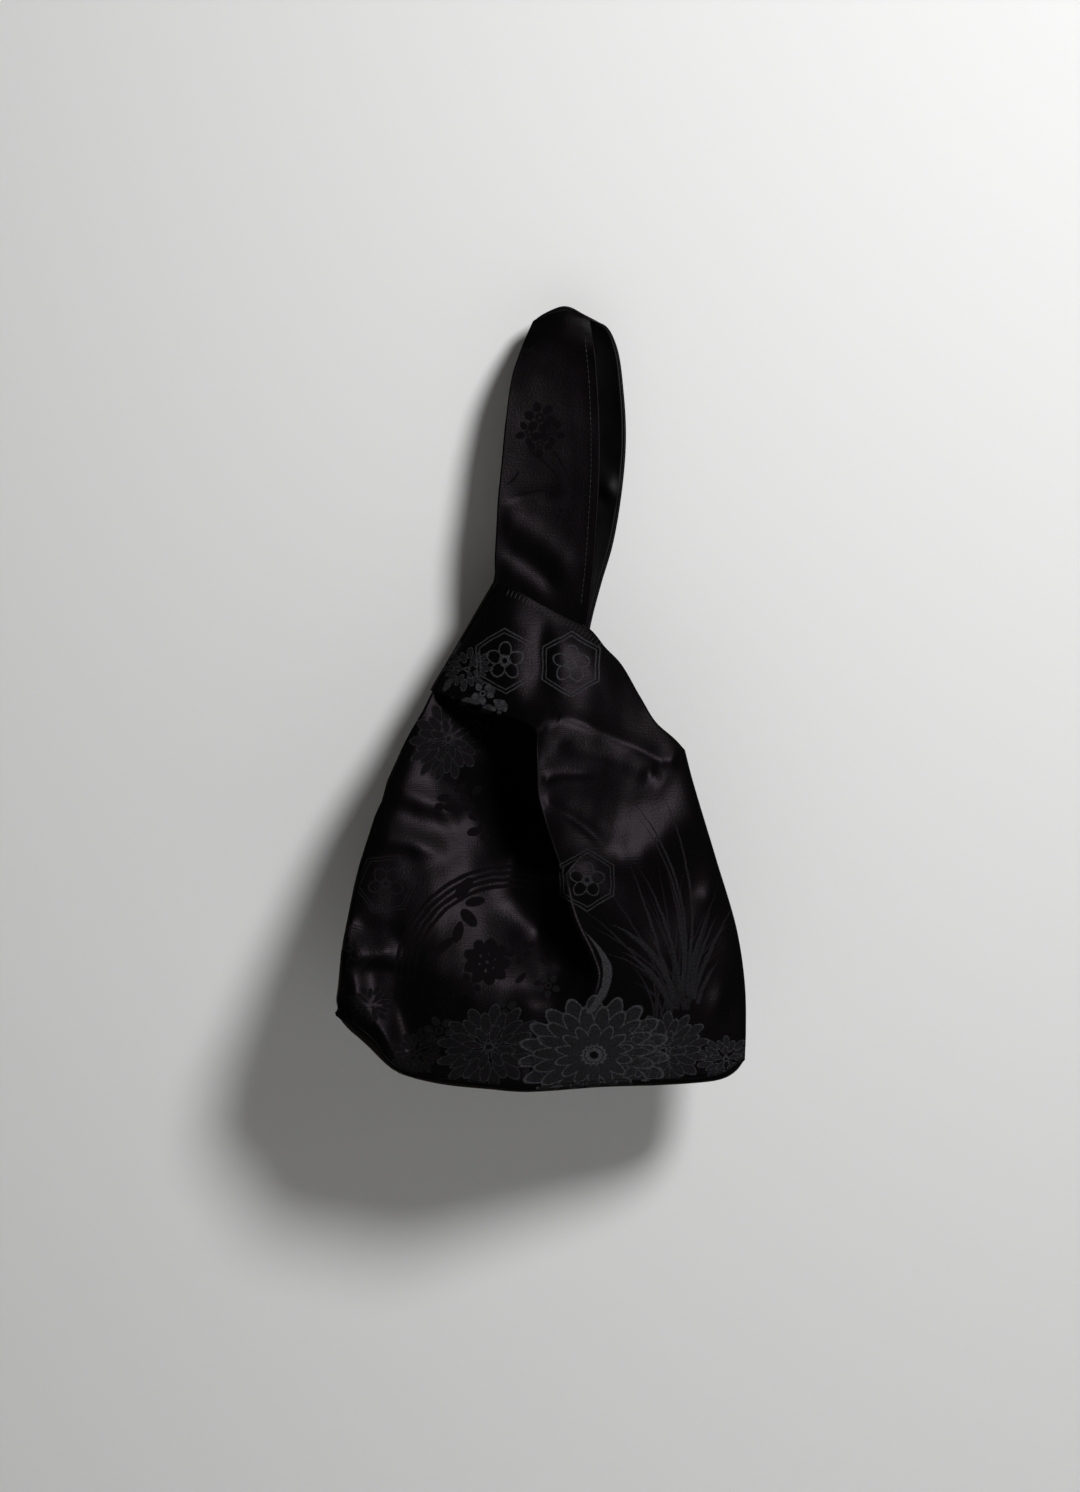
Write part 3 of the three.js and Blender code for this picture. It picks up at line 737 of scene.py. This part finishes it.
def drawBloom(calc, x, y, away, count, inside, outline):
    angle = calc("ARCTAN2", y, x)
    total, cover = 0.0, 0.0
    # each ring lies on the one before: fewer petals, turn, middle, half length and width
    for fewer, turn, middle, half, width in ((0, 0.0, 0.74, 0.27, 0.12), (0, 0.5, 0.56, 0.27, 0.105),
                                             (5, 0.2, 0.33, 0.2, 0.085)):
        petals = petalRing(calc, away, angle, calc("SUBTRACT", count, fewer), turn, middle, half, width)
        filled = inside(petals, 1.0)
        shown = calc("MAXIMUM", outline(petals, 0.93, 0.08), calc("MULTIPLY", filled, pattern["bloomFill"]))
        total = calc("MAXIMUM", calc("MULTIPLY", total, calc("SUBTRACT", 1.0, filled)), shown)
        cover = calc("MAXIMUM", cover, filled)
    return calc("MAXIMUM", total, outline(away, 0.09, 0.03)), cover


def drawRound(calc, x, y, away, count, inside, outline):
    petals = petalRing(calc, away, calc("ARCTAN2", y, x), count, 0.0, 0.66, 0.3, 0.26)
    total = calc("MAXIMUM", inside(petals, 1.0), outline(away, 0.2, 0.07))
    return total, total


def drawLeaf(calc, x, y, away, count, inside, outline):
    total = inside(away, 1.0)
    return total, total


def drawBlade(calc, x, y, away, count, inside, outline):
    bow = calc("MULTIPLY", calc("MULTIPLY", x, calc("SUBTRACT", 1.0, x)), count)
    taper = calc("MINIMUM", calc("MULTIPLY", calc("SUBTRACT", 1.0, x), 2.4), 1.0)
    start = calc("MULTIPLY", x, 30.0, clamp=True)
    total = inside(calc("ABSOLUTE", calc("SUBTRACT", y, bow)), calc("MULTIPLY", taper, start))
    total = calc("MULTIPLY", total, start)
    return total, total


def drawArc(calc, x, y, away, count, inside, outline):
    total = outline(away, 1.0, 0.017)
    for line in range(1, 4):
        total = calc("MAXIMUM", total, outline(away, 1 - pattern["arcGap"] * line, 0.017))
    fan = calc("ABSOLUTE", calc("SUBTRACT", calc("ARCTAN2", y, x), count))
    total = calc("MULTIPLY", total, inside(fan, pattern["arcSpread"]))
    return total, total


def damaskFigures(tree, where):
    total = (0, 0, 0)
    laid = 0

    # a figure's painted sheen and its mask go into one chain of places, which keeps the shader's stack short
    def lay(group, spot, lean, size, sheenTone, count=0.0):
        nonlocal total, laid
        offset = vectorMath(tree, "SUBTRACT", where, onCloth(spot))
        wide, high = size[0] * view["pixel"], size[1] * view["pixel"]
        right = vectorMath(tree, "DOT_PRODUCT", offset, (math.cos(lean) / wide, math.sin(lean) / wide, 0))
        up = vectorMath(tree, "DOT_PRODUCT", offset, (-math.sin(lean) / high, math.cos(lean) / high, 0))
        figure = tree.nodes.new("ShaderNodeGroup")
        figure.node_tree = group
        tree.links.new(right, figure.inputs["Right"])
        tree.links.new(up, figure.inputs["Up"])
        figure.inputs["Sharp"].default_value = high / damask["edge"]
        figure.inputs["Count"].default_value = count
        paintedSheenMask = vectorMath(tree, "SCALE", (sheenTone, 0, 0), figure.outputs["Mask"])
        covered = vectorMath(tree, "SCALE", (0, 1, 0), figure.outputs["Cover"])
        total = vectorMath(tree, "MAXIMUM", vectorMath(tree, "MAXIMUM", paintedSheenMask, covered), total)
        laid += 1

    sheenTones = pattern["sheenTones"]
    hexagon, bloom = figureGroup("hexagon", drawHexagon), figureGroup("bloom", drawBloom)
    for spot, half, lean, sheenTone in pattern["hexagons"]:
        lay(hexagon, spot, lean, (half, half), sheenTone, pattern["hexagonPetals"])
    for spot, radius, petals, lean, sheenTone in pattern["blooms"]:
        lay(bloom, spot, lean, (radius, pattern["bloomHeight"] * radius), sheenTone, petals)
    leaf, roundFlower = figureGroup("leaf", drawLeaf), figureGroup("roundFlower", drawRound)
    for kind in ("darkLeaves", "lightLeaves"):
        for spot, half, width, lean in pattern[kind]:
            lay(leaf, spot, lean, (half, width), sheenTones[kind])
    for spot, radius, petals, sheenTone in pattern["rounds"]:
        lay(roundFlower, spot, pattern["roundLean"], (radius, radius), sheenTone, petals)
    blade, arc = figureGroup("blade", drawBlade), figureGroup("arc", drawArc)
    for kind in ("stems", "blades", "curls"):
        for root, tip, bend, width in pattern[kind]:
            run = math.hypot(tip[0] - root[0], tip[1] - root[1])
            turn = math.atan2(root[1] - tip[1], tip[0] - root[0])
            lay(blade, root, turn, (run, width), sheenTones[kind], 4 * bend / width)
    for root, number, first, last, shortest, longest in pattern["fans"]:
        for i in range(number):
            lean = first + (last - first) * i / (number - 1)
            run = shortest + (longest - shortest) * (0.5 + 0.5 * math.sin(2.4 * i))  # unevenly long
            start = (root[0] + pattern["fanFoot"] * math.sin(1.7 * i), root[1])
            size = (run, pattern["fanWidth"])
            lay(blade, start, math.pi / 2 - lean, size, sheenTones["fans"], pattern["fanDroop"] * lean)
    for spot, radius, toward in pattern["arcs"]:
        lay(arc, spot, 0, (radius, radius), sheenTones["arcs"], toward)
    print("damask:", laid, "figures")
    return pickAxis(tree, total, 1), pickAxis(tree, total, 0)


def damaskSatin():
    material, tree, shader = newMaterial("damaskSatin", damask["specular"])
    calc = nodeMath(tree)
    shader.inputs["Specular Tint"].default_value = (*damask["specularTint"], 1)
    shader.inputs["Anisotropic"].default_value = damask["anisotropy"]
    shader.inputs["Anisotropic Rotation"].default_value = damask["glossTurn"]
    place = clothPlace(tree)
    threads = vectorMath(tree, "SNAP", place, (damask["thread"], damask["thread"], 1))
    waver = addNoise(tree, damask["waverScale"], 1, threads)
    stray = (damask["waver"], damask["waver"], 0)
    strayed = vectorMath(tree, "MULTIPLY_ADD", waver.outputs["Color"], stray, threads)
    figure, paintedSheen = damaskFigures(tree, strayed)
    rows = calc("SINE", calc("MULTIPLY", pickAxis(tree, place, 1), 2 * math.pi / damask["rowPitch"]))
    grain = addNoise(tree, damask["grainScale"], 2, place).outputs[0]
    drift = addNoise(tree, damask["driftScale"], 3, place).outputs[0]
    woven = calc("MULTIPLY_ADD", rows, damask["rowDepth"], 1 - damask["rowDepth"])
    woven = calc("MULTIPLY", woven, calc("MULTIPLY_ADD", grain, 2.4, -0.2))
    # the figures show as a lighter colour: painted sheen laid over the woven pattern
    colour = mixColour(tree, calc("MULTIPLY", paintedSheen, woven), (*damask["ground"], 1), (*damask["figure"], 1))
    level = calc("MULTIPLY_ADD", drift, 0.7, 0.65)  # a little lighter and darker over the cloth
    tree.links.new(mixColour(tree, 1, colour, level, "MULTIPLY"), shader.inputs["Base Color"])
    gap = damask["figureRoughness"] - damask["groundRoughness"]
    rough = calc("MULTIPLY_ADD", figure, gap, damask["groundRoughness"])
    rough = calc("ADD", rough, calc("MULTIPLY_ADD", drift, 0.1, -0.05))
    tree.links.new(rough, shader.inputs["Roughness"])
    drawn = vectorMath(tree, "MULTIPLY", place, (1, damask["slubLength"], 1))
    slub = addNoise(tree, damask["slubScale"], 2, drawn).outputs[0]
    relief = calc("MULTIPLY_ADD", rows, 0.05, calc("ADD", grain, slub))
    addBump(tree, shader, relief, damask["bumpStrength"], damask["bumpDistance"])
    tangent = tree.nodes.new("ShaderNodeTangent")
    tangent.direction_type = "UV_MAP"
    tangent.uv_map = "cloth"
    tree.links.new(tangent.outputs[0], shader.inputs["Tangent"])
    return material


# Plain weave of the lining: threads over and under as a fine relief
liningLook = {
    "colour": (0.0010, 0.0009, 0.0010),
    "roughness": 0.42,
    "roughnessDrift": 0.12,
    "specular": 0.09,
    "thread": 0.0006,
    "driftScale": 40,
    "bumpStrength": 0.4,
    "bumpDistance": 0.0001,
}


def plainWeave():
    material, tree, shader = newMaterial("liningWeave", liningLook["specular"])
    calc = nodeMath(tree)
    place = clothPlace(tree)
    turns = 2 * math.pi / liningLook["thread"]
    across, along = (calc("SINE", calc("MULTIPLY", pickAxis(tree, place, i), turns)) for i in (0, 1))
    weave = calc("MULTIPLY_ADD", calc("MULTIPLY", across, along), 0.5, 0.5)
    drift = addNoise(tree, liningLook["driftScale"], 3, place).outputs[0]
    level = calc("MULTIPLY_ADD", weave, 0.5, calc("MULTIPLY_ADD", drift, 0.6, 0.4))
    colour = mixColour(tree, 1, (*liningLook["colour"], 1), level, "MULTIPLY")
    tree.links.new(colour, shader.inputs["Base Color"])
    change = liningLook["roughnessDrift"]
    rough = calc("MULTIPLY_ADD", drift, change, liningLook["roughness"] - change / 2)
    tree.links.new(rough, shader.inputs["Roughness"])
    addBump(tree, shader, weave, liningLook["bumpStrength"], liningLook["bumpDistance"])
    return material


# Twisted sewing thread
threadLook = {
    "colour": (0.0150, 0.0145, 0.0160),
    "shade": 0.6,  # between its strands
    "roughness": 0.5,
    "specular": 0.2,
    "twistScale": 700,
    "twistUneven": 1.5,
    "bumpStrength": 0.5,
    "bumpDistance": 0.0001,
}


def twistedThread():
    material, tree, shader = newMaterial("sewingThread", threadLook["specular"])
    place = tree.nodes.new("ShaderNodeTexCoord")
    twist = tree.nodes.new("ShaderNodeTexWave")
    twist.inputs["Scale"].default_value = threadLook["twistScale"]
    twist.inputs["Distortion"].default_value = threadLook["twistUneven"]
    tree.links.new(place.outputs["Object"], twist.inputs["Vector"])
    dark = (*(threadLook["shade"] * c for c in threadLook["colour"]), 1)
    colour = mixColour(tree, twist.outputs["Fac"], dark, (*threadLook["colour"], 1))
    tree.links.new(colour, shader.inputs["Base Color"])
    shader.inputs["Roughness"].default_value = threadLook["roughness"]
    addBump(tree, shader, twist.outputs["Fac"], threadLook["bumpStrength"], threadLook["bumpDistance"])
    return material


def addPiece(name, bm, material):
    mesh = bpy.data.meshes.new(name)
    bm.to_mesh(mesh)
    bm.free()
    piece = bpy.data.objects.new(name, mesh)
    bpy.context.scene.collection.objects.link(piece)
    piece.data.materials.append(material)
    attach(piece, "root")
    return piece


def addCloth(name, bm, material, thickness, node):
    laid = bm.verts.layers.float_vector["cloth"]
    clothMap = bm.loops.layers.uv.new("cloth")
    for face in bm.faces:
        face.smooth = True
        for loop in face.loops:
            loop[clothMap].uv = onCloth(loop.vert[laid])[:2]
    area = sum(f.calc_area() for f in bm.faces)
    piece = addPiece(name, bm, material)
    solid = piece.modifiers.new("thickness", "SOLIDIFY")
    solid.thickness = thickness
    solid.offset = -1
    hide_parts(node)
    print(name, len(piece.data.polygons), "faces,", round(area, 4), "square metres")
    return piece


# The foot: a boat-shaped panel between the lower edges of front and back, rolled down past its seams
foot = {
    "along": 150,
    "across": 40,
    "sag": 4.0,             # millimetres
    "square": 2.6,          # how square its roll is
    "ends": (0.07, 0.05),   # shares of its length over which the sag fades
    "endSag": 0.25,         # share of the sag left there
    "ripple": 0.5,
    "rippleWidth": 190,
    "mapTop": 1094,         # where it lies on the cloth's map, in the sketch's pixels
    "mapDepth": 170,
}


def footSheet():
    bm = bmesh.new()
    cloth = bm.verts.layers.float_vector.new("cloth")
    made = bmesh.ops.create_grid(bm, x_segments=foot["along"], y_segments=foot["across"], size=0.5)["verts"]
    st = np.clip(np.array([v.co[:2] for v in made]) + 0.5, 0, 1)
    s, t = st[:, 0], st[:, 1]
    t = 0.5 - 0.5 * np.cos(math.pi * t)  # rows lie closer at the seams
    front, back = lineThrough(seams["frontFoot"])(s), lineThrough(seams["backFoot"])(s)
    spots = front * (1 - t)[:, None] + back * t[:, None]
    roll = np.clip(1 - np.abs(2 * t - 1) ** foot["square"], 0, 1) ** (1 / foot["square"])
    leftEnd, rightEnd = foot["ends"]
    ends = easeTo(s / leftEnd) * easeTo((1 - s) / rightEnd)
    sag = foot["sag"] / (1000 * view["pixel"]) * (foot["endSag"] + (1 - foot["endSag"]) * ends)
    ripple = foot["ripple"] * ends * rippleLift(spots[:, 0], t * foot["rippleWidth"])
    spots[:, 1] += roll * (sag + ripple)
    for v, place, spot, share in zip(made, fromSketch(spots), spots, t):
        v.co = place
        v[cloth] = (spot[0], foot["mapTop"] + share * foot["mapDepth"], 0)
    bmesh.ops.remove_doubles(bm, verts=bm.verts, dist=weldDistance)
    faceTowards(bm, (0, 0, -1))
    return bm


# The lining lies inside its outer panel and ends a little short of the outer's edges
liningGap = 0.0014


def asLining(bm):
    bm.normal_update()
    moves = [(v, v.co - v.normal * liningGap) for v in bm.verts]
    for v, place in moves:
        v.co = place
    border = [f for f in bm.faces if any(v.is_boundary for v in f.verts)]
    bmesh.ops.delete(bm, geom=border, context="FACES")
    return bm


# Stitches laid on a panel where the photograph's view meets it: row of (right, down),
# pitch and length in pixels, and how far each one is turned from the row
stitching = {
    "bandRow": dict(row=[(506, 592), (518, 597), (540, 609), (565, 622), (589, 636), (603, 650)], pitch=4.2,
                    length=7.5, turn=math.pi / 2),
    "handleRow": dict(row=[(585, 338), (588.5, 376), (590.5, 418), (591, 464), (589, 510), (585, 567),
                           (581, 604)], pitch=5.2, length=5.0, turn=0.0),
    "threadRadius": 0.00028,
    "raised": 0.35,    # share of the radius that a stitch's middle line lies above the cloth
    "longest": 0.008,  # a longer one would bridge a gap
}


def sewRow(name, cloth, row, pitch, length, turn):
    tree = BVHTree.FromObject(cloth, bpy.context.evaluated_depsgraph_get())
    eye = Vector((view["middle"][0], view["plane"] - view["distance"], view["middle"][1]))
    line = lineThrough(row)
    run = np.linalg.norm(np.diff(line(np.linspace(0, 1, 200)), axis=0), axis=1).sum()
    count = int(run / pitch)
    thin = stitching["threadRadius"]
    bm = bmesh.new()

    def meet(spot):
        ray = (Vector(fromSketch((*spot, 1000 * view["plane"]))) - eye).normalized()
        return tree.ray_cast(eye, ray)[:2]

    for i in range(count):
        before, middle, after = line(np.array([(i + 0.4) / count, (i + 0.5) / count, (i + 0.6) / count]))
        heading = math.atan2(*(after - before)[::-1]) + turn
        half = np.array([math.cos(heading), math.sin(heading)]) * length / 2
        (start, up), (end, _) = meet(middle - half), meet(middle + half)
        if start is None or end is None or (end - start).length > stitching["longest"]:
            continue
        along = (end - start).normalized()
        frameOf = along.to_track_quat("X", "Z").to_matrix().to_4x4()
        frameOf.translation = (start + end) / 2 + up * thin * stitching["raised"]
        ball = bmesh.ops.create_uvsphere(bm, u_segments=6, v_segments=5, radius=1)["verts"]
        bmesh.ops.rotate(bm, verts=ball, cent=(0, 0, 0), matrix=Matrix.Rotation(math.pi / 2, 3, "Y"))
        bmesh.ops.scale(bm, verts=ball, vec=((end - start).length / 2, thin, thin))
        bmesh.ops.transform(bm, verts=ball, matrix=frameOf)
    for face in bm.faces:
        face.smooth = True
    piece = addPiece(name, bm, thread)
    return piece


frontPanel = dict(cut=frontCut, depths=frontDepth, folds=frontFolds, side=-1)
backPanel = dict(cut=backCut, depths=backDepth, folds=backFolds, side=1, detail=panel["backDetail"])
satinThickness, liningThickness = 0.0012, 0.0004
satin, lining, thread = damaskSatin(), plainWeave(), twistedThread()
outerFront = addCloth("outerFront", panelSheet(**frontPanel), satin, satinThickness,
                      "outer_front_panel")
outerBack = addCloth("outerBack", panelSheet(**backPanel), satin, satinThickness,
                     "outer_back_panel")
outerBase = addCloth("outerBase", footSheet(), satin, satinThickness, "outer_base_panel")
liningFront = addCloth("liningFront", asLining(panelSheet(**frontPanel)), lining, liningThickness,
                       "lining_front_panel")
liningBack = addCloth("liningBack", asLining(panelSheet(**backPanel)), lining, liningThickness,
                      "lining_back_panel")
liningBase = addCloth("liningBase", asLining(footSheet()), lining, liningThickness,
                      "lining_base_panel")
bandStitches = sewRow("bandStitches", outerFront, **stitching["bandRow"])
handleStitches = sewRow("handleStitches", outerFront, **stitching["handleRow"])
print("stitches:", len(bandStitches.data.polygons) + len(handleStitches.data.polygons), "faces")

# Stage, lights and camera
stage = {
    "backdrop": 0.022,  # its depth at the height of the handle's top
    "lean": 0.11,
    "backdropSize": 6,
    "floor": -1.0,
    "floorSize": 12,
    "colour": (0.72, 0.72, 0.72),
    "roughness": 0.95,
}


def addStage():
    material = bpy.data.materials.new("paleStage")
    material.use_nodes = True
    tree = material.node_tree
    shader = tree.nodes["Principled BSDF"]
    shader.inputs["Base Color"].default_value = (*stage["colour"], 1)
    shader.inputs["Roughness"].default_value = stage["roughness"]
    geometry = tree.nodes.new("ShaderNodeNewGeometry")
    clear = tree.nodes.new("ShaderNodeBsdfTransparent")  # the backdrop is clear from behind
    mix = tree.nodes.new("ShaderNodeMixShader")
    tree.links.new(geometry.outputs["Backfacing"], mix.inputs[0])
    tree.links.new(shader.outputs[0], mix.inputs[1])
    tree.links.new(clear.outputs[0], mix.inputs[2])
    tree.links.new(mix.outputs[0], tree.nodes["Material Output"].inputs["Surface"])
    upright = math.pi / 2 + stage["lean"]
    for name, size, place, turn in (("backdrop", stage["backdropSize"], (0, stage["backdrop"], 0), upright),
                                    ("floor", stage["floorSize"], (0, 0, stage["floor"]), 0)):
        bm = bmesh.new()
        bmesh.ops.create_grid(bm, x_segments=1, y_segments=1, size=size / 2)
        mesh = bpy.data.meshes.new(name)
        bm.to_mesh(mesh)
        bm.free()
        mesh.materials.append(material)
        plane = bpy.data.objects.new(name, mesh)
        plane.location = place
        plane.rotation_euler = (turn, 0, 0)
        bpy.context.scene.collection.objects.link(plane)
        plane.visible_shadow = False  # lamps behind the backdrop reach the bag's back
        plane.visible_glossy = False


addStage()

studio = {
    "aim": (-0.013, -0.035, -0.22),
    "lamps": {"key": dict(place=(0.64, -1.27, 0.46), size=0.40, power=25),
              "backFill": dict(place=(0.4, 1.3, 1.6), size=0.9, power=12)},
    "fill": (1, 0.90, 0.78),  # soft light from all round
    "fillStrength": 0.04,
    "background": (0.62, 0.62, 0.60),
}


def addLamp(name, place, size, power):
    lamp = bpy.data.lights.new(name, "AREA")
    lamp.shape = "DISK"
    lamp.size = size
    lamp.energy = power
    lampObject = bpy.data.objects.new(name, lamp)
    lampObject.location = place
    lampObject.rotation_euler = (Vector(studio["aim"]) - Vector(place)).to_track_quat("-Z", "Y").to_euler()
    bpy.context.scene.collection.objects.link(lampObject)


for name, lamp in studio["lamps"].items():
    addLamp(name, **lamp)
world = bpy.data.worlds.new("studio")
world.use_nodes = True
sky = world.node_tree
pale = sky.nodes.new("ShaderNodeBackground")
pale.inputs[0].default_value = (*studio["background"], 1)
soft = sky.nodes["Background"]
soft.inputs[0].default_value = (*studio["fill"], 1)
soft.inputs[1].default_value = studio["fillStrength"]
path = sky.nodes.new("ShaderNodeLightPath")
seen = sky.nodes.new("ShaderNodeMixShader")
sky.links.new(path.outputs["Is Camera Ray"], seen.inputs[0])
sky.links.new(soft.outputs[0], seen.inputs[1])
sky.links.new(pale.outputs[0], seen.inputs[2])
sky.links.new(seen.outputs[0], sky.nodes["World Output"].inputs[0])
bpy.context.scene.world = world
print("stage and lamps:", ", ".join(studio["lamps"]))

camera = bpy.data.cameras.new("camera")
camera.sensor_width = view["sensor"]
camera.lens = view["sensor"] * view["distance"] / (view["picture"][1] * view["pixel"])
cameraObject = bpy.data.objects.new("camera", camera)
cameraObject.location = (view["middle"][0], view["plane"] - view["distance"], view["middle"][1])
cameraObject.rotation_euler = (math.pi / 2, 0, 0)
bpy.context.scene.collection.objects.link(cameraObject)
bpy.context.scene.camera = cameraObject
bpy.context.scene.view_settings.view_transform = "Standard"
